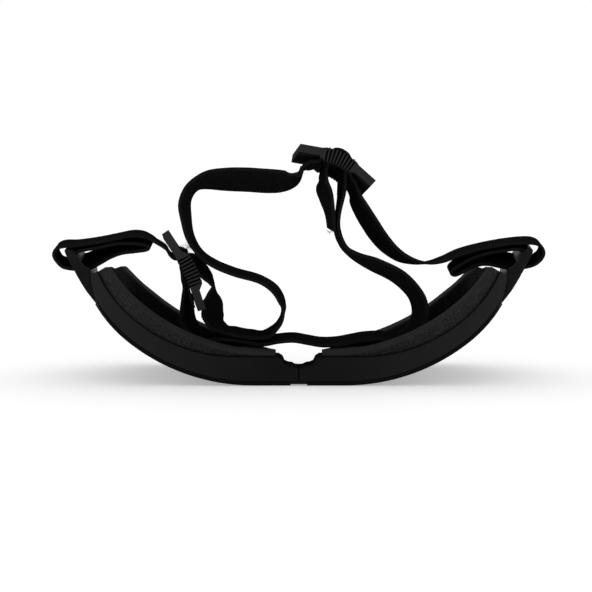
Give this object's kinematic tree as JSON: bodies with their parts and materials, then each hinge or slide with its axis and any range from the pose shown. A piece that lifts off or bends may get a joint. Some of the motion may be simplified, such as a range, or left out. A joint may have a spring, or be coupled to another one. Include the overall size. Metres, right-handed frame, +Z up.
{
  "type": "pet goggles",
  "caption": "Strap-on pet goggles lying lens side down: hinged padded rim, dark lenses, side wings and an elastic head strap and chin strap on adjustment sliders.",
  "frame": {"origin": "bottom centre of the whole part, on the plane of the two lens flats", "axes": "+X from the left temple to the right one, +Y from the brow edge to the cheek edge, +Z up from the lens fronts to the head side"},
  "size_m": [0.1944, 0.0559, 0.0933],
  "materials": {
    "frame": "matte moulded elastomer",
    "bridge_strip": "matte",
    "lens": "smooth smoked polycarbonate",
    "foam": "fine open-cell foam",
    "face_fabric": "brushed fleece",
    "outrigger": "satin moulded plastic",
    "slider": "satin moulded nylon",
    "webbing": "woven elastic"
  },
  "bodies": {
    "left_half": {"frame_left": "frame", "bridge_strip_left": "bridge_strip", "lens_left": "lens", "foam_left": "foam", "face_fabric_left": "face_fabric", "outrigger_left": "outrigger", "head_strap_left_run": "webbing", "head_strap_middle_run": "webbing", "head_strap_right_run": "webbing", "chin_strap_run": "webbing"},
    "right_half": {"frame_right": "frame", "bridge_strip_right": "bridge_strip", "lens_right": "lens", "foam_right": "foam", "face_fabric_right": "face_fabric", "outrigger_right": "outrigger", "head_strap_right_loop": "webbing"},
    "left_slider": {"slider_left": "slider", "head_strap_left_weave": "webbing", "chin_strap_left_end": "webbing"},
    "top_slider": {"slider_top": "slider", "head_strap_top_weave": "webbing", "chin_strap_top_end": "webbing"}
  },
  "joints": [
    {"name": "bridge_flex", "type": "hinge", "parent": "left_half", "child": "right_half", "pos_m": [0, 0, 0.0005], "axis": [0, 1, 0], "range_deg": [0, 25], "stiffness_Nm_per_rad": 0.6, "springref_deg": -2.29},
    {"name": "left_slide", "type": "slide", "parent": "left_half", "child": "left_slider", "axis": [0.4226, 0, -0.9063], "range_m": [-0.008, 0.001]},
    {"name": "top_slide", "type": "slide", "parent": "left_half", "child": "top_slider", "axis": [0.8988, 0, -0.4384], "range_m": [-0.005, 0.002]}
  ]
}
